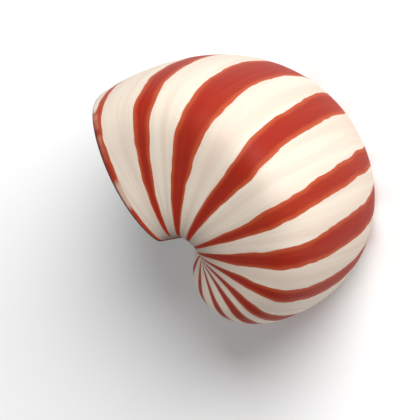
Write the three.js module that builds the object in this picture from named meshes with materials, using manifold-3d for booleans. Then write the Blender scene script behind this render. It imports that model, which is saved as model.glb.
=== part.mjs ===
// Nautilus shell: one coiled shell, open at the living chamber, lying on its flank.
import * as THREE from 'three';
import { ParametricGeometry } from 'three/addons/geometries/ParametricGeometry.js';
import { mergeVertices } from 'three/addons/utils/BufferGeometryUtils.js';
import Module from 'manifold-3d';

const wasm = await Module();
wasm.setup();

// Driving dimensions, in mm and radians.
const LIP_RADIUS = 104;
const WALL = 2.2;

// Growth: the log of the whorl's size against its angle back from the lip. The early coil grows evenly.
const GROWTH = 0.0345;
const GROWTH_2 = 0.011;
const GROWTH_3 = 0.019;
const EARLY_FROM = -4.5;
const EARLY_GROWTH = 0.175;
const EARLY_EASE = 0.25;

// The whorl's section, in parts of the whorl's size.
const WIDEST_AT = 0.724;
const HALF_WIDTH = 0.643;
const OUTER_SQUARE_RADIAL = 2.44;
const OUTER_SQUARE_ACROSS = 2.16;
const INNER_SQUARE_RADIAL = 1.49;
const INNER_SQUARE_ACROSS = 2.08;
const UMBILICAL_EDGE = 0.102;
const UMBILICAL_HALF_GAP = 0.512;
const INNER_WALL = 0.03;
const UMBILICAL_CORNER = 0.9 * Math.PI;

// The lip leans forward at the umbilicus and draws back on the flanks.
const LIP_LEAN = 0.235;
const LIP_SINUS = -0.183;
const LEAN_FADES_OVER = 2.5 * Math.PI;

// Living chamber, dished end wall and hollow early coil.
const CHAMBER_ANGLE = 2.1;
const PAST_LIP = 0.3;
const END_WALL_DISH = 0.34;
const END_WALL_ANGLE = 0.06;
const HOLLOW_FROM = -4.9;
const JOIN_AT = -Math.PI;
const TIP_AT = -8.5;
const SIPHON_RADIUS = 3;
const SIPHON_LENGTH = 24;
const CALLUS_RADIUS = 8;
const CALLUS_HALF = 22;

// At rest the coil leans this far from flat, with the opening towards -Y.
const REST_ROLL = -0.0508;
const REST_PITCH = -0.1673;
const REST_YAW = Math.PI;

// Facets.
const AROUND = 40;
const STEP = 0.14;
const DISH_ROWS = 5;
const HOLE_SIDES = 16;
const CALLUS_SIDES = 24;
const CALLUS_ROWS = 16;
const SAME_POINT = 1e-3;
const NUDGE = 0.01;

function whorlSize(angle) {
	const cubic = (a) => GROWTH * a + GROWTH_2 * a * a + GROWTH_3 * a * a * a;
	if (angle >= EARLY_FROM) return LIP_RADIUS * Math.exp(cubic(angle));
	const slope = GROWTH + 2 * GROWTH_2 * EARLY_FROM + 3 * GROWTH_3 * EARLY_FROM * EARLY_FROM;
	const back = angle - EARLY_FROM;
	const ease = (slope - EARLY_GROWTH) * EARLY_EASE * (1 - Math.exp(back / EARLY_EASE));
	return LIP_RADIUS * Math.exp(cubic(EARLY_FROM) + EARLY_GROWTH * back - ease);
}

const squared = (value, squareness) => Math.pow(Math.abs(value), 2 / squareness);

// A point of the section: 0 is the outer middle line, pi the middle of the inner wall.
function sectionPoint(around) {
	const side = Math.abs(around);
	const turned = Math.min(side / UMBILICAL_CORNER, 1) * Math.PI;
	const cos = Math.cos(turned);
	const sin = Math.sin(turned);
	const lean = LIP_LEAN * (1 - cos) / 2 + LIP_SINUS * sin * sin;
	let radial;
	let across;
	if (side > UMBILICAL_CORNER) {
		const inward = (side - UMBILICAL_CORNER) / (Math.PI - UMBILICAL_CORNER);
		radial = UMBILICAL_EDGE + (INNER_WALL - UMBILICAL_EDGE) * inward;
		across = UMBILICAL_HALF_GAP * (1 - inward);
	} else if (cos >= 0) {
		radial = WIDEST_AT + (1 - WIDEST_AT) * squared(cos, OUTER_SQUARE_RADIAL);
		across = HALF_WIDTH * squared(sin, OUTER_SQUARE_ACROSS);
	} else {
		const bulge = HALF_WIDTH - UMBILICAL_HALF_GAP;
		radial = WIDEST_AT - (WIDEST_AT - UMBILICAL_EDGE) * squared(cos, INNER_SQUARE_RADIAL);
		across = UMBILICAL_HALF_GAP + bulge * squared(sin, INNER_SQUARE_ACROSS);
	}
	return { radial, across: Math.sign(around) * across, lean };
}

function coilPoint(around, along, target) {
	const { radial, across, lean } = sectionPoint(around);
	const angle = along + lean * Math.max(0, 1 + along / LEAN_FADES_OVER);
	const size = whorlSize(angle);
	return target.set(size * radial * Math.cos(angle), size * radial * Math.sin(angle), size * across);
}

// The same point sunk into the wall, square to the surface.
function sunkPoint(around, along, depth, target) {
	const from = new THREE.Vector3();
	const acrossway = new THREE.Vector3();
	const lengthway = new THREE.Vector3();
	coilPoint(Math.max(around - NUDGE, -Math.PI), along, from);
	coilPoint(Math.min(around + NUDGE, Math.PI), along, acrossway).sub(from);
	coilPoint(around, along - NUDGE, from);
	coilPoint(around, along + NUDGE, lengthway).sub(from);
	if (Math.abs(around) > Math.PI - NUDGE) acrossway.set(0, 0, -1);
	coilPoint(around, along, target);
	return target.addScaledVector(acrossway.cross(lengthway).normalize(), depth);
}

// A closed length of coil between two growth angles, sunk by a depth. Each end is flat or dished back.
function coilLength(from, to, depth = 0, dishFrom = 0, dishTo = 0) {
	const rows = Math.ceil((to - from) / STEP);
	const dishRows = dishFrom || dishTo ? DISH_ROWS : 1;
	const heart = new THREE.Vector3();
	const place = (u, v, target) => {
		const row = v * (rows + 2 * dishRows) - dishRows;
		const along = from + (to - from) * THREE.MathUtils.clamp(row / rows, 0, 1);
		const past = Math.max(-row, row - rows, 0) / dishRows;
		sunkPoint((1 - 2 * u) * Math.PI, along, depth, target);
		if (past === 0) return;
		const angle = along - (row < 0 ? dishFrom : dishTo) * Math.sin(past * Math.PI / 2);
		const reach = whorlSize(angle) / 2;
		heart.set(reach * Math.cos(angle), reach * Math.sin(angle), 0);
		target.lerp(heart, past);
	};
	return solid(new ParametricGeometry(place, AROUND, rows + 2 * dishRows));
}

function solid(geometry) {
	geometry.deleteAttribute('normal');
	geometry.deleteAttribute('uv');
	const merged = mergeVertices(geometry, SAME_POINT);
	const corners = merged.index.array;
	const kept = [];
	for (let i = 0; i < corners.length; i += 3) {
		const [a, b, c] = corners.subarray(i, i + 3);
		if (a !== b && b !== c && c !== a) kept.push(a, b, c);
	}
	const vertProperties = new Float32Array(merged.attributes.position.array);
	const triVerts = new Uint32Array(kept);
	return new wasm.Manifold(new wasm.Mesh({ numProp: 3, vertProperties, triVerts }));
}

function siphon() {
	const angle = -CHAMBER_ANGLE - END_WALL_DISH - END_WALL_ANGLE / 2;
	const reach = whorlSize(angle) / 2;
	const hole = new THREE.CylinderGeometry(SIPHON_RADIUS, SIPHON_RADIUS, SIPHON_LENGTH, HOLE_SIDES);
	hole.rotateZ(angle);
	hole.translate(reach * Math.cos(angle), reach * Math.sin(angle), 0);
	return solid(hole);
}

// The callus that closes the umbilicus from both flanks.
function callus() {
	const boss = new THREE.SphereGeometry(1, CALLUS_SIDES, CALLUS_ROWS);
	boss.rotateX(Math.PI / 2);
	boss.scale(CALLUS_RADIUS, CALLUS_RADIUS, CALLUS_HALF);
	return solid(boss);
}

const chamber = coilLength(-CHAMBER_ANGLE, PAST_LIP, WALL, END_WALL_DISH);
const hollow = coilLength(HOLLOW_FROM, -CHAMBER_ANGLE - END_WALL_ANGLE, WALL, 0, END_WALL_DISH);
const lastWhorl = coilLength(JOIN_AT, 0).subtract(chamber);
const earlyCoil = coilLength(TIP_AT, JOIN_AT);
const shell = lastWhorl.add(earlyCoil).add(callus()).subtract(hollow).subtract(siphon());

function geometryOf(manifold) {
	const mesh = manifold.getMesh();
	const geometry = new THREE.BufferGeometry();
	geometry.setAttribute('position', new THREE.BufferAttribute(mesh.vertProperties, 3));
	geometry.setIndex(new THREE.BufferAttribute(mesh.triVerts, 1));
	return geometry;
}

const ivory = new THREE.MeshStandardMaterial({ color: 0xf2e4d3, roughness: 0.45, metalness: 0 });
const body = new THREE.Mesh(geometryOf(shell), ivory);
body.name = 'nautilus_shell';
body.rotation.set(REST_ROLL, REST_PITCH, REST_YAW, 'ZYX');

const extent = new THREE.Box3().setFromObject(body, true);
const middle = extent.getCenter(new THREE.Vector3());
body.position.set(-middle.x, -middle.y, -extent.min.z);

const model = new THREE.Group();
model.add(body);
export default model;
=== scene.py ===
import math

import bmesh
import bpy
import numpy as np
from mathutils import Matrix, Vector, kdtree


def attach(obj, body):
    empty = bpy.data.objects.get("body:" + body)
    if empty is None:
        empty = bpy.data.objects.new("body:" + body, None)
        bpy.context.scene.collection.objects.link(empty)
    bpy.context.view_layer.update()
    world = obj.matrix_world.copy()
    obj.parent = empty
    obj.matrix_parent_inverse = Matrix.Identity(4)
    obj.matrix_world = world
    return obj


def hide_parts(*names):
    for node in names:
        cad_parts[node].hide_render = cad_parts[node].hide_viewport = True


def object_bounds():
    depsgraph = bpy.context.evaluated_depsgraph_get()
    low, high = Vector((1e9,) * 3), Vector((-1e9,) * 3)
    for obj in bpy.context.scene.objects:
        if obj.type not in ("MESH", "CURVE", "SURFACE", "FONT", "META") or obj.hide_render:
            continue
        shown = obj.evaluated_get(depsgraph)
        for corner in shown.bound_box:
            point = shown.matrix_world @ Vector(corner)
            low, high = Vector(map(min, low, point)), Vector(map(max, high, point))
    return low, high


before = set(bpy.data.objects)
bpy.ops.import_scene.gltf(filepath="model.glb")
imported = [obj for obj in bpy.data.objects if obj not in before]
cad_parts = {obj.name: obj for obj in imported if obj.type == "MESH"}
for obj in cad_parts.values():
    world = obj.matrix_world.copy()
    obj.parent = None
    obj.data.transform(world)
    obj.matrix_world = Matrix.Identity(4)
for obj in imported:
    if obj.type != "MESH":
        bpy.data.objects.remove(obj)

CAD_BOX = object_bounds()

# ---------------------------------------------------------------- the shell's growth, in metres and radians
LIP_RADIUS = 0.104
WALL = 0.0022
LIP_THICKNESS = 0.0016
THINS_OVER = 0.16

GROWTH = (0.0345, 0.011, 0.019)
EARLY_FROM = -4.5
EARLY_GROWTH = 0.175
EARLY_EASE = 0.25

WIDEST_AT = 0.724
HALF_WIDTH = 0.643
OUTER_SQUARE_RADIAL = 2.44
OUTER_SQUARE_ACROSS = 2.16
INNER_SQUARE_RADIAL = 1.49
INNER_SQUARE_ACROSS = 2.08
UMBILICAL_EDGE = 0.102
UMBILICAL_HALF_GAP = 0.512
INNER_WALL = 0.03
UMBILICAL_CORNER = 0.9 * math.pi

RIDGE_AT = 0.45 * math.pi
RIDGE_REACH = 0.4 * math.pi
RIDGE_SOFTENED_BY = 0.3
RIDGE_SAMPLES = 7

LIP_LEAN = 0.235
LIP_SINUS = -0.183
LEAN_FADES_OVER = 2.5 * math.pi

CHAMBER_ANGLE = 2.1
END_WALL_DISH = 0.34
JOIN_AT = -math.pi
TENON = 0.06
TENON_DRAWN_IN = 0.12
TIP_AT = -8.5
SIPHON_RADIUS = 0.003
SIPHON_DEPTH = 0.012
CALLUS_RADIUS = 0.008
CALLUS_HALF = 0.022
CALLUS_STREAKS = 0.25
CALLUS_REACH = 1.01
# What the callus is told: its place round the section, that it is outside, and its way back from the lip.
CALLUS_FACTS = (0.8 * math.pi, 0.0, -TIP_AT)

# How far the rounded lip bulges forwards, in half thicknesses.
LIP_BULGE = 0.9
# The share of the lip's radius at which the rounding's growth angle is worked out.
LIP_MEAN_REACH = 0.75
# The way back from the lip that the whole end wall is told, so that its finish is even.
END_WALL_TO_LIP = 2.0

# The coil at rest: it lies on its far flank with the opening towards -Y.
REST_TURN = math.pi
REST_LEAN = -0.1673
REST_ROLL = -0.0508
REST = Matrix.Rotation(REST_TURN, 3, "Z") @ Matrix.Rotation(REST_LEAN, 3, "Y")
REST = REST @ Matrix.Rotation(REST_ROLL, 3, "X")
# The share of the CAD box's tightest side that the shell fills.
BOX_SHARE = 0.9995
MM_PER_M = 1000

# ---------------------------------------------------------------- mesh fineness
AROUND = 160
OUTER_ROWS = 230
EARLY_ROWS = 120
INNER_ROWS = 70
LIP_ROWS = 8
DOME_ROWS = 14
CALLUS_SIDES = 48
CALLUS_ROWS = 32
SIPHON_SIDES = 32
NUDGE = 0.004
SAME_POINT = 4e-6

# ---------------------------------------------------------------- colour bands
# Far outside any band, in millimetres.
NO_BAND = -50.0
# The bands' edges waver in full from this distance off the axis, and by the finest share at the axis.
COARSE_FROM = 0.075
FINEST = 0.12
BAND_EASES = (-0.08, -0.04, 0.0, 0.04, 0.08)

# Places round the section, in half turns from the keel: the far shoulder, the keel and on to the umbilicus.
BAND_STATIONS = (-0.3, 0.0, 0.3, 0.5, 0.7, 0.9)
# Each band's growth angle at those stations, then its half width at the keel and opposite the keel.
BANDS = (
    (-0.13, -0.125, -0.142, -0.085, 0.085, 0.20, 0.015, 0.058),
    (-0.49, -0.48, -0.49, -0.46, -0.375, -0.41, 0.068, 0.075),
    (-0.97, -0.88, -0.895, -0.86, -0.825, -0.92, 0.115, 0.110),
    (-1.27, -1.31, -1.355, -1.385, -1.335, -1.39, 0.085, 0.110),
    (-1.665, -1.735, -1.81, -1.845, -1.875, -1.90, 0.070, 0.080),
    (-1.93, -2.09, -2.185, -2.20, -2.25, -2.28, 0.095, 0.100),
    (-2.25, -2.48, -2.57, -2.545, -2.55, -2.57, 0.078, 0.062),
    (-2.95, -2.93, -2.865, -2.83, -2.79, -2.81, 0.074, 0.054),
    (-3.19, -3.18, -3.095, -3.08, -3.04, -3.06, 0.078, 0.064),
    (-3.42, -3.39, -3.36, -3.385, -3.405, -3.42, 0.074, 0.072),
    (-3.75, -3.73, -3.73, -3.81, -3.87, -3.88, 0.090, 0.076),
    (-4.25, -4.24, -4.22, -4.28, -4.30, -4.30, 0.086, 0.078),
)


def whorl_size(angle):
    """Distance from the coiling axis to the keel, by the growth angle back from the lip."""

    def cubic(a):
        return GROWTH[0] * a + GROWTH[1] * a**2 + GROWTH[2] * a**3

    slope = GROWTH[0] + 2 * GROWTH[1] * EARLY_FROM + 3 * GROWTH[2] * EARLY_FROM**2
    back = np.minimum(angle - EARLY_FROM, 0.0)
    ease = (slope - EARLY_GROWTH) * EARLY_EASE * (1 - np.exp(back / EARLY_EASE))
    log_size = cubic(np.maximum(angle, EARLY_FROM)) + EARLY_GROWTH * back - ease
    return LIP_RADIUS * np.exp(log_size)


def sharp_section(around):
    """Radial and crossways place of the section, in whorl sizes, and the lean of its growth line."""
    side = np.abs(around)
    turned = np.minimum(side / UMBILICAL_CORNER, 1) * math.pi
    cos, sin = np.cos(turned), np.abs(np.sin(turned))
    size = np.abs(cos)
    outer_radial = WIDEST_AT + (1 - WIDEST_AT) * size ** (2 / OUTER_SQUARE_RADIAL)
    outer_across = HALF_WIDTH * sin ** (2 / OUTER_SQUARE_ACROSS)
    inner_radial = WIDEST_AT - (WIDEST_AT - UMBILICAL_EDGE) * size ** (2 / INNER_SQUARE_RADIAL)
    bulge = HALF_WIDTH - UMBILICAL_HALF_GAP
    inner_across = UMBILICAL_HALF_GAP + bulge * sin ** (2 / INNER_SQUARE_ACROSS)
    radial = np.where(cos >= 0, outer_radial, inner_radial)
    across = np.where(cos >= 0, outer_across, inner_across)
    inward = np.clip((side - UMBILICAL_CORNER) / (math.pi - UMBILICAL_CORNER), 0, 1)
    wall = side > UMBILICAL_CORNER
    radial = np.where(wall, UMBILICAL_EDGE + (INNER_WALL - UMBILICAL_EDGE) * inward, radial)
    across = np.where(wall, UMBILICAL_HALF_GAP * (1 - inward), across)
    lean = LIP_LEAN * (1 - cos) / 2 + LIP_SINUS * sin**2
    return radial, np.sign(around) * across, lean


def section(around):
    """The section with the ridge of its flank softened."""
    away = (np.abs(around) - RIDGE_AT) / RIDGE_REACH
    spread = RIDGE_SOFTENED_BY * np.cos(np.clip(away, -1, 1) * math.pi / 2)
    steps = np.linspace(-1, 1, RIDGE_SAMPLES)
    parts = [sharp_section(around + spread * step) for step in steps]
    return tuple(sum(part[i] for part in parts) / len(steps) for i in range(3))


def coil_points(around, along):
    """Points on the outside of the coil, and the growth angle of each."""
    radial, across, lean = section(around)
    angle = along + lean * np.maximum(0, 1 + along / LEAN_FADES_OVER)
    size = whorl_size(angle)
    points = np.stack([size * radial * np.cos(angle), size * radial * np.sin(angle), size * across], -1)
    return points, angle


def directions(around, along):
    """Unit vectors off the outside of the coil and forwards along it."""
    before, _ = coil_points(np.clip(around - NUDGE, -math.pi, math.pi), along)
    after, _ = coil_points(np.clip(around + NUDGE, -math.pi, math.pi), along)
    crossways = after - before
    seam = np.abs(around) > math.pi - NUDGE
    crossways[seam] = (0, 0, -1)
    back, _ = coil_points(around, along - NUDGE)
    ahead, _ = coil_points(around, along + NUDGE)
    forwards = ahead - back
    outwards = np.cross(forwards, crossways)
    outwards /= np.linalg.norm(outwards, axis=-1, keepdims=True)
    forwards /= np.linalg.norm(forwards, axis=-1, keepdims=True)
    return outwards, forwards


class Skin:
    """A closed sheet of rings, with what each of its points knows about the shell."""

    def __init__(self):
        self.rings = []
        self.facts = []

    def add(self, points, growth, around, inside, to_lip):
        self.rings.append(points)
        spread = np.ones(len(points))
        self.facts.append(np.stack([growth * spread, around, inside * spread, to_lip * spread], -1))

    def mesh(self, name, first_cap, last_cap):
        """Joins the rings and closes both ends; returns the object, its points and their facts."""
        count = len(self.rings[0])
        points = np.concatenate(self.rings)
        facts = np.concatenate(self.facts)
        rows = len(self.rings)
        index = np.arange(rows * count).reshape(rows, count)
        a, b = index[:-1], index[1:]
        quads = np.stack([a, np.roll(a, -1, 1), np.roll(b, -1, 1), b], -1).reshape(-1, 4)
        points = np.concatenate([points, [first_cap, last_cap]])
        facts = np.concatenate([facts, facts[[0]], facts[[-1]]])
        head, tail = len(points) - 2, len(points) - 1
        fan_a = [(head, (i + 1) % count, i) for i in range(count)]
        last = (rows - 1) * count
        fan_b = [(tail, last + i, last + (i + 1) % count) for i in range(count)]
        made = bpy.data.meshes.new(name)
        faces = [tuple(q) for q in quads.tolist()] + fan_a + fan_b
        made.from_pydata([tuple(p) for p in points], [], faces)
        made.validate()
        thing = bpy.data.objects.new(name, made)
        bpy.context.scene.collection.objects.link(thing)
        return thing, points, facts


def ring_angles():
    """Places round the section, in radians, one for each point of a ring."""
    return math.pi * (1 - 2 * np.arange(AROUND) / AROUND)


def heart(angle):
    """A point near the middle of the whorl at a growth angle."""
    size = whorl_size(np.array(angle))
    return np.array([size / 2 * math.cos(angle), size / 2 * math.sin(angle), 0.0])


def tenon(skin, around, along, beyond):
    """A ring drawn in towards the heart, so that one length of coil ends inside the other."""
    points, growth = coil_points(around, along + beyond)
    skin.add(points + (heart(along + beyond) - points) * TENON_DRAWN_IN, growth, around, 0.0, -along)


def wall_thickness(along):
    """The wall, thinner at the lip."""
    share = np.clip(-along / THINS_OVER, 0, 1)
    return LIP_THICKNESS + (WALL - LIP_THICKNESS) * share * share * (3 - 2 * share)


def last_whorl():
    """The last half turn: outside, rounded lip, inside of the living chamber and its dished end wall."""
    skin = Skin()
    around = ring_angles()
    round_off = LIP_THICKNESS / 2 / LIP_RADIUS / LIP_MEAN_REACH
    tenon(skin, around, JOIN_AT, -TENON)
    for along in np.linspace(JOIN_AT, -round_off, OUTER_ROWS):
        points, growth = coil_points(around, along)
        skin.add(points, growth, around, 0.0, -along)
    points, growth = coil_points(around, -round_off)
    outwards, forwards = directions(around, np.full(AROUND, -round_off))
    middle = points - outwards * LIP_THICKNESS / 2
    for turn in np.linspace(0, math.pi, LIP_ROWS + 2)[1:-1]:
        edge = outwards * math.cos(turn) + forwards * math.sin(turn) * LIP_BULGE
        skin.add(middle + edge * LIP_THICKNESS / 2, growth, around, turn / math.pi, 0.0)
    for along in np.linspace(-round_off, -CHAMBER_ANGLE, INNER_ROWS):
        points, growth = coil_points(around, along)
        outwards, _ = directions(around, np.full(AROUND, along))
        skin.add(points - outwards * wall_thickness(along), growth, around, 1.0, -along)
    points, growth = coil_points(around, -CHAMBER_ANGLE)
    outwards, _ = directions(around, np.full(AROUND, -CHAMBER_ANGLE))
    rim = points - outwards * WALL
    for past in np.linspace(0, 1, DOME_ROWS + 1)[1:-1]:
        angle = -CHAMBER_ANGLE - END_WALL_DISH * math.sin(past * math.pi / 2)
        skin.add(rim + (heart(angle) - rim) * past, growth, around, 1.0, END_WALL_TO_LIP)
    start = heart(JOIN_AT - TENON)
    end = heart(-CHAMBER_ANGLE - END_WALL_DISH)
    return skin.mesh("last whorl", start, end)


def early_coil():
    """The coil from its tip up to the last half turn."""
    skin = Skin()
    around = ring_angles()
    for share in np.linspace(0, 1, EARLY_ROWS):
        along = TIP_AT + (JOIN_AT - TIP_AT) * share
        points, growth = coil_points(around, along)
        skin.add(points, growth, around, 0.0, -along)
    tenon(skin, around, JOIN_AT, TENON)
    return skin.mesh("early coil", heart(TIP_AT), heart(JOIN_AT + TENON))


def callus():
    """The boss that closes the umbilicus."""
    bpy.ops.mesh.primitive_uv_sphere_add(segments=CALLUS_SIDES, ring_count=CALLUS_ROWS, radius=1)
    boss = bpy.context.object
    boss.name = "callus"
    boss.scale = (CALLUS_RADIUS, CALLUS_RADIUS, CALLUS_HALF)
    bpy.ops.object.transform_apply(location=False, rotation=False, scale=True)
    return boss


def siphon():
    """The hole for the siphon, through the end wall."""
    angle = -CHAMBER_ANGLE - END_WALL_DISH
    depth = 2 * SIPHON_DEPTH
    bpy.ops.mesh.primitive_cylinder_add(vertices=SIPHON_SIDES, radius=SIPHON_RADIUS, depth=depth)
    hole = bpy.context.object
    hole.name = "siphon hole"
    turned = Matrix.Translation(heart(angle)) @ Matrix.Rotation(angle, 4, "Z")
    hole.matrix_world = turned @ Matrix.Rotation(math.pi / 2, 4, "X")
    bpy.context.view_layer.update()
    return hole


def combine(base, other, operation):
    """Joins another solid to the base, or cuts it away, and removes it."""
    cut = base.modifiers.new(operation, "BOOLEAN")
    cut.operation = operation
    cut.solver = "MANIFOLD"
    cut.object = other
    bpy.context.view_layer.objects.active = base
    bpy.ops.object.modifier_apply(modifier=cut.name)
    bpy.data.objects.remove(other)


def without_slivers(mesh):
    """Closes up the edges of next to no length that joining leaves."""
    work = bmesh.new()
    work.from_mesh(mesh)
    bmesh.ops.dissolve_degenerate(work, dist=SAME_POINT, edges=work.edges)
    work.to_mesh(mesh)
    work.free()


def band_line(stations, x):
    """A band's growth angle round the section, eased, and mirrored past the far shoulder."""
    far = BAND_STATIONS[0]
    line = np.zeros(len(x))
    for ease in BAND_EASES:
        place = x + ease
        mirrored = stations[0] + np.interp(-place, BAND_STATIONS, stations) - stations[2]
        line += np.where(place < far, mirrored, np.interp(place, BAND_STATIONS, stations))
    return line / len(BAND_EASES)


def band_depths(growth, around):
    """How far each point is inside its nearest band, in mm; negative outside."""
    x = around / math.pi
    reach = whorl_size(growth) * section(around)[0] * MM_PER_M
    depth = np.full(len(growth), NO_BAND)
    for *stations, at_keel, at_inside in BANDS:
        half = at_keel + (at_inside - at_keel) * np.abs(x)
        off = growth - band_line(stations, x)
        inside = (half - np.abs(off)) * reach
        depth = np.maximum(depth, inside)
    return depth


def nearest_facts(mesh, known, facts):
    """What each point of the joined mesh takes from the nearest point of the skins it was made from."""
    tree = kdtree.KDTree(len(known))
    for i, p in enumerate(known):
        tree.insert(p, i)
    tree.balance()
    return facts[[tree.find(v.co)[1] for v in mesh.vertices]]


def write_facts(mesh, facts):
    """Stores the facts on the mesh for its finishes, with the callus told its own."""
    points = np.array([v.co for v in mesh.vertices])
    from_middle = np.hypot(points[:, 0], points[:, 1]) / CALLUS_RADIUS
    on_callus = np.hypot(from_middle, points[:, 2] / CALLUS_HALF) < CALLUS_REACH
    turned = np.arctan2(points[on_callus, 1], points[on_callus, 0])
    told = [np.full(len(turned), value) for value in CALLUS_FACTS]
    facts[on_callus] = np.stack([turned * CALLUS_STREAKS, *told], -1)
    depth = band_depths(facts[:, 0], facts[:, 1])
    depth[on_callus] = NO_BAND
    columns = {
        "growth": facts[:, 0],
        "around": facts[:, 1] / math.pi,
        "inside": facts[:, 2],
        "to_lip": facts[:, 3],
        "band_depth": depth,
        "coarseness": np.clip(np.linalg.norm(points[:, :2], axis=1) / COARSE_FROM, FINEST, 1),
    }
    for name, values in columns.items():
        layer = mesh.attributes.new(name, "FLOAT", "POINT")
        layer.data.foreach_set("value", values.astype(np.float32))


def shell():
    """The whole shell as one closed mesh, coiled about Z."""
    whorl, whorl_points, whorl_facts = last_whorl()
    coil, early_points, early_facts = early_coil()
    combine(whorl, coil, "UNION")
    combine(whorl, callus(), "UNION")
    combine(whorl, siphon(), "DIFFERENCE")
    without_slivers(whorl.data)
    known = np.concatenate([whorl_points, early_points])
    facts = np.concatenate([whorl_facts, early_facts])
    write_facts(whorl.data, nearest_facts(whorl.data, known, facts))
    return whorl


def into_place(thing):
    """Lays the coil down at rest in the CAD box, and returns where the middle of its axis lies."""
    mesh = thing.data
    mesh.transform(REST.to_4x4())
    points = np.array([v.co for v in mesh.vertices])
    low, high = points.min(0), points.max(0)
    box_low, box_high = np.array(CAD_BOX[0]), np.array(CAD_BOX[1])
    fit = min((box_high - box_low) / (high - low)) * BOX_SHARE
    middle = (low + high) / 2
    shift = (box_low + box_high) / 2 - middle * fit
    shift[2] = box_low[2] - low[2] * fit
    mesh.transform(Matrix.Translation(shift) @ Matrix.Scale(fit, 4))
    return Vector(shift)


# ---------------------------------------------------------------- finishes
def colour(red, green, blue):
    """A colour as a painter names it, 0 to 255 a channel, in linear light."""

    def linear(v):
        v = v / 255
        return v / 12.92 if v <= 0.04045 else ((v + 0.055) / 1.055) ** 2.4

    return (linear(red), linear(green), linear(blue), 1.0)


IVORY = colour(213, 195, 179)
PALE_IVORY = colour(222, 209, 193)
STREAKED_IVORY = colour(198, 181, 165)
STAINED_IVORY = colour(209, 193, 177)
# Painted shade for the recess of the umbilicus.
UMBILICUS_PAINTED_SHADE = colour(146, 135, 122)
FRINGE_RED = colour(176, 76, 44)
BAND_RED = colour(150, 34, 18)
STREAKED_RED = colour(126, 26, 16)
LIP_STRIP_DARK = colour(150, 68, 52)
LIP_STRIP_LIGHT = colour(190, 116, 92)
WORN_LIP = colour(200, 171, 153)
LIP_SHADOW = colour(98, 35, 24)
EDGE_GREY = colour(135, 129, 120)
EDGE_BROWN = colour(75, 33, 26)
PEARL_WARM = colour(214, 204, 193)
PEARL_COOL = colour(204, 200, 194)
PEARL_ROSE = colour(222, 186, 182)
PEARL_GREEN = colour(176, 204, 196)
# Painted shade deep inside the living chamber.
CHAMBER_PAINTED_SHADE = colour(96, 74, 62)
LINING_CREAM = colour(193, 169, 146)
LINING_EDGE = colour(86, 46, 37)
PAPER = colour(250, 250, 250)
PAPER_LIGHT = colour(253, 253, 253)
# Faces further inside than this take the lining.
LINING_FROM = 0.45


class Tree:
    """A node tree with short ways to add and join nodes."""

    def __init__(self, tree):
        self.tree = tree

    def put(self, socket, value):
        if isinstance(value, bpy.types.NodeSocket):
            self.tree.links.new(value, socket)
        elif value is not None:
            socket.default_value = value

    def node(self, kind, inputs=None, **settings):
        made = self.tree.nodes.new(kind)
        for name, value in settings.items():
            setattr(made, name, value)
        for key, value in (inputs or {}).items():
            self.put(made.inputs[key], value)
        return made

    def fact(self, name):
        return self.node("ShaderNodeAttribute", attribute_name=name).outputs["Fac"]

    def math(self, operation, a, b=None, c=None):
        made = self.node("ShaderNodeMath", {0: a}, operation=operation)
        self.put(made.inputs[1], b)
        self.put(made.inputs[2], c)
        return made.outputs[0]

    def step(self, value, low, high, to_low=0.0, to_high=1.0):
        inputs = {0: value, 1: low, 2: high, 3: to_low, 4: to_high}
        return self.node("ShaderNodeMapRange", inputs, interpolation_type="SMOOTHSTEP").outputs[0]

    def vector(self, x=0.0, y=0.0, z=0.0):
        return self.node("ShaderNodeCombineXYZ", {0: x, 1: y, 2: z}).outputs[0]

    def noise(self, vector, scale, detail=2.0, roughness=0.5):
        inputs = {"Vector": vector, "Scale": scale, "Detail": detail, "Roughness": roughness}
        return self.node("ShaderNodeTexNoise", inputs).outputs[0]

    def mix(self, share, a, b):
        made = self.node("ShaderNodeMix", data_type="RGBA")
        for index, value in ((0, share), (6, a), (7, b)):
            self.put(made.inputs[index], value)
        return made.outputs[2]


def growth_streaks():
    """Node group: soft and fine streaks along the growth lines, and the height of the growth ridges."""
    group = bpy.data.node_groups.new("growth streaks", "ShaderNodeTree")
    for name in ("Growth", "Around"):
        group.interface.new_socket(name=name, in_out="INPUT", socket_type="NodeSocketFloat")
    for name in ("Soft", "Fine", "Ridges"):
        group.interface.new_socket(name=name, in_out="OUTPUT", socket_type="NodeSocketFloat")
    t = Tree(group)
    given = t.node("NodeGroupInput").outputs
    growth, around = given["Growth"], given["Around"]
    wander = t.noise(t.vector(growth, around), 3.0)
    bent = t.math("MULTIPLY_ADD", wander, 0.06, growth)
    soft = t.noise(t.vector(t.math("MULTIPLY", bent, 11.0), around), 1.0, 3.0)
    fine = t.noise(t.vector(t.math("MULTIPLY", bent, 70.0), around), 1.0, 3.0, 0.6)
    ridge_place = t.vector(t.math("MULTIPLY", bent, 38.0), t.math("MULTIPLY", around, 0.6))
    ridges = t.noise(ridge_place, 1.0, 4.0, 0.65)
    result = t.node("NodeGroupOutput").inputs
    for name, value in (("Soft", soft), ("Fine", fine), ("Ridges", ridges)):
        t.put(result[name], value)
    return group


def blank(name):
    """A new material with an empty node tree."""
    made = bpy.data.materials.new(name)
    made.use_nodes = True
    made.node_tree.nodes.clear()
    return made, Tree(made.node_tree)


def finish_surface(t, colour_out, roughness, normal, settings):
    """The shader, with the values that are the same all over set on its own sockets."""
    inputs = {"Base Color": colour_out, "Roughness": roughness, "Normal": normal}
    shader = t.node("ShaderNodeBsdfPrincipled", inputs)
    for name, value in settings.items():
        shader.inputs[name].default_value = value
    t.node("ShaderNodeOutputMaterial", {"Surface": shader.outputs[0]})


def streaks_in(t, group):
    """The growth streaks of this material, from the shared node group."""
    made = t.node("ShaderNodeGroup", {}, node_tree=group)
    t.put(made.inputs["Growth"], t.fact("growth"))
    t.put(made.inputs["Around"], t.fact("around"))
    return made.outputs


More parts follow.
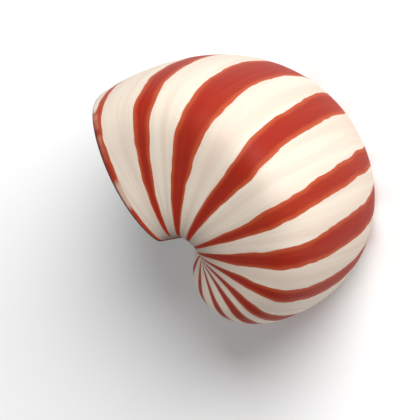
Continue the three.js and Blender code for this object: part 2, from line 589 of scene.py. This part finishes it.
def banded_shell(group):
    """Ivory shell with red-brown bands, each with a lighter fringe, and a worn, dark-edged lip."""
    made, t = blank("banded shell")
    streaks = streaks_in(t, group)
    place = t.node("ShaderNodeTexCoord").outputs["Object"]
    around = t.math("ABSOLUTE", t.fact("around"))
    to_lip = t.math("MULTIPLY", t.fact("to_lip"), LIP_RADIUS * MM_PER_M)

    ground = t.mix(t.step(streaks["Soft"], 0.35, 0.65), IVORY, PALE_IVORY)
    ground = t.mix(t.step(streaks["Fine"], 0.5, 0.8, 0.0, 0.35), ground, STREAKED_IVORY)
    stain = t.step(t.noise(place, 26.0, 3.0), 0.5, 0.75, 0.0, 0.35)
    ground = t.mix(stain, ground, STAINED_IVORY)
    # Painted shade: the ivory turns grey towards the umbilicus, where the whorl curves into its recess.
    umbilical_shade = t.step(around, 0.62, 0.93, 0.0, 0.95)
    ground = t.mix(umbilical_shade, ground, UMBILICUS_PAINTED_SHADE)

    wobble = t.math("MULTIPLY_ADD", t.noise(place, 55.0, 2.0), 4.6, -2.3)
    feather = t.math("MULTIPLY_ADD", streaks["Fine"], 0.8, -0.4)
    coarseness = t.fact("coarseness")
    wander = t.math("MULTIPLY", t.math("ADD", wobble, feather), coarseness)
    depth = t.math("ADD", t.fact("band_depth"), wander)
    band = t.step(depth, -0.25, 0.35)
    core = t.step(t.math("DIVIDE", depth, coarseness), 0.5, 4.0)
    core = t.math("MULTIPLY", core, t.step(streaks["Soft"], 0.2, 0.7, 0.75, 1.0))
    red = t.mix(core, FRINGE_RED, BAND_RED)
    red = t.mix(t.step(streaks["Fine"], 0.45, 0.85, 0.0, 0.3), red, STREAKED_RED)
    painted = t.mix(band, ground, red)

    strip = t.math("MULTIPLY", t.step(around, 0.26, 0.31), t.step(around, 0.46, 0.54, 1.0, 0.0))
    strip = t.math("MULTIPLY", strip, t.step(to_lip, 4.0, 6.5, 1.0, 0.0))
    blocks = t.noise(t.vector(t.math("MULTIPLY", around, 26.0)), 1.0, 1.0)
    strip_colour = t.mix(t.step(blocks, 0.35, 0.62), LIP_STRIP_DARK, LIP_STRIP_LIGHT)
    painted = t.mix(strip, painted, strip_colour)
    worn = t.math("MULTIPLY", t.step(around, 0.58, 0.61), t.step(around, 0.66, 0.69, 1.0, 0.0))
    worn = t.math("MULTIPLY", worn, t.step(to_lip, 8.0, 11.0, 0.85, 0.0))
    painted = t.mix(worn, painted, WORN_LIP)
    shadow = t.math("MULTIPLY", t.step(to_lip, 1.0, 4.5, 0.8, 0.0), t.step(around, 0.3, 0.42))
    painted = t.mix(shadow, painted, LIP_SHADOW)
    edge = t.mix(t.step(around, 0.24, 0.3), EDGE_GREY, EDGE_BROWN)
    painted = t.mix(t.step(to_lip, 0.6, 1.8, 1.0, 0.0), painted, edge)

    roughness = t.step(streaks["Fine"], 0.3, 0.8, 0.5, 0.62)
    relief = t.node("ShaderNodeBump", {"Strength": 0.35, "Distance": 0.0004, "Height": streaks["Ridges"]})
    finish_surface(t, painted, roughness, relief.outputs[0], {"Specular IOR Level": 0.14})
    return made


def mother_of_pearl(group):
    """The pearly lining of the living chamber, with painted shade deeper inside."""
    made, t = blank("mother of pearl")
    streaks = streaks_in(t, group)
    place = t.node("ShaderNodeTexCoord").outputs["Object"]
    to_lip = t.math("MULTIPLY", t.fact("to_lip"), LIP_RADIUS * MM_PER_M)
    lining = t.mix(t.step(streaks["Soft"], 0.3, 0.7), PEARL_WARM, PEARL_COOL)
    lining = t.mix(t.step(t.noise(place, 30.0, 2.0), 0.42, 0.62, 0.0, 0.75), lining, PEARL_ROSE)
    lining = t.mix(t.step(t.noise(place, 21.0, 2.0), 0.48, 0.68, 0.0, 0.7), lining, PEARL_GREEN)
    # Painted shade: the lining darkens the further it lies inside the living chamber.
    lining = t.mix(t.step(to_lip, 6.0, 130.0, 0.0, 0.9), lining, CHAMBER_PAINTED_SHADE)
    lining = t.mix(t.step(to_lip, 1.0, 12.0, 0.55, 0.0), lining, LINING_CREAM)
    edge = t.step(to_lip, 0.3, 1.4, 1.0, 0.0)
    lining = t.mix(edge, lining, LINING_EDGE)
    roughness = t.step(streaks["Fine"], 0.3, 0.8, 0.18, 0.3)
    relief = t.node("ShaderNodeBump", {"Strength": 0.15, "Distance": 0.0003, "Height": streaks["Ridges"]})
    settings = {"Specular IOR Level": 0.6, "Coat Weight": 0.5, "Coat Roughness": 0.12}
    finish_surface(t, lining, roughness, relief.outputs[0], settings)
    return made


def paper_floor():
    """Plain pale paper."""
    made, t = blank("pale paper")
    place = t.node("ShaderNodeTexCoord").outputs["Object"]
    tone = t.mix(t.step(t.noise(place, 3.0), 0.3, 0.7), PAPER, PAPER_LIGHT)
    finish_surface(t, tone, 0.9, None, {"Specular IOR Level": 0.1})
    return made


def dress(thing):
    """Gives the outside its bands and the chamber its lining."""
    group = growth_streaks()
    thing.data.materials.clear()
    thing.data.materials.append(banded_shell(group))
    thing.data.materials.append(mother_of_pearl(group))
    inside = np.zeros(len(thing.data.vertices), np.float32)
    thing.data.attributes["inside"].data.foreach_get("value", inside)
    for face in thing.data.polygons:
        face.material_index = int(inside[list(face.vertices)].mean() > LINING_FROM)
        face.use_smooth = True


# ---------------------------------------------------------------- studio
VIEW_TURNS = (12.66, -28.05, 128.50)
VIEW_DISTANCE = 3.467
VIEW_LENS = 521.8
VIEW_ASIDE = -0.0054
VIEW_ABOVE = 0.0145
VIEW_SENSOR = 36
VIEW_REACH = 50

LIGHT_DISTANCE = 3.0
LIGHT_SIZE = 2.4
KEY_POWER = 122.0
KEY_UP = 0.54
KEY_BACK = 0.85
KEY_RIGHT = 0.12
FILL_POWER = 16.0
FILL_FROM = (-0.2, -0.85, 0.5)
ROOM_COLOUR = (1, 1, 1, 1)
ROOM_LIGHT = 0.25
FLOOR_SIZE = 8


def view_axes():
    """Right, up and back of the camera, as columns, with the shell at rest."""
    tip, swing, spin = (math.radians(a) for a in VIEW_TURNS)
    turn = Matrix.Rotation(tip, 3, "X") @ Matrix.Rotation(swing, 3, "Y") @ Matrix.Rotation(spin, 3, "Z")
    return REST @ turn.transposed()


def camera(aim):
    """Sets up the camera and returns its right, up and back."""
    axes = view_axes()
    right, up, back = axes.col
    data = bpy.data.cameras.new("camera")
    data.lens = VIEW_LENS
    data.sensor_width = VIEW_SENSOR
    data.clip_end = VIEW_REACH
    eye = bpy.data.objects.new("camera", data)
    bpy.context.scene.collection.objects.link(eye)
    where = aim + back * VIEW_DISTANCE + right * VIEW_ASIDE + up * VIEW_ABOVE
    eye.matrix_world = Matrix.Translation(where) @ axes.to_4x4()
    bpy.context.scene.camera = eye
    return right, up, back


def soft_light(name, aim, towards, power):
    """A round, soft lamp that faces the shell."""
    data = bpy.data.lights.new(name, "AREA")
    data.shape = "DISK"
    data.size = LIGHT_SIZE
    data.energy = power
    lamp = bpy.data.objects.new(name, data)
    bpy.context.scene.collection.objects.link(lamp)
    direction = towards.normalized()
    facing = direction.to_track_quat("Z", "Y").to_matrix().to_4x4()
    lamp.matrix_world = Matrix.Translation(aim + direction * LIGHT_DISTANCE) @ facing


def studio(aim):
    """Camera, two soft lamps, an even room and a pale floor."""
    right, up, back = camera(aim)
    soft_light("key", aim, up * KEY_UP + back * KEY_BACK + right * KEY_RIGHT, KEY_POWER)
    soft_light("fill", aim, Vector(FILL_FROM), FILL_POWER)
    world = bpy.data.worlds.new("room")
    world.use_nodes = True
    background = world.node_tree.nodes["Background"]
    background.inputs["Color"].default_value = ROOM_COLOUR
    background.inputs["Strength"].default_value = ROOM_LIGHT
    bpy.context.scene.world = world
    bpy.context.scene.view_settings.view_transform = "Standard"
    bpy.ops.mesh.primitive_plane_add(size=FLOOR_SIZE)
    floor = bpy.context.object
    floor.name = "floor"
    floor.data.materials.append(paper_floor())


body = shell()
body.name = "nautilus_shell_skin"
centre = into_place(body)
dress(body)
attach(body, "root")
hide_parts("nautilus_shell")
studio(centre)
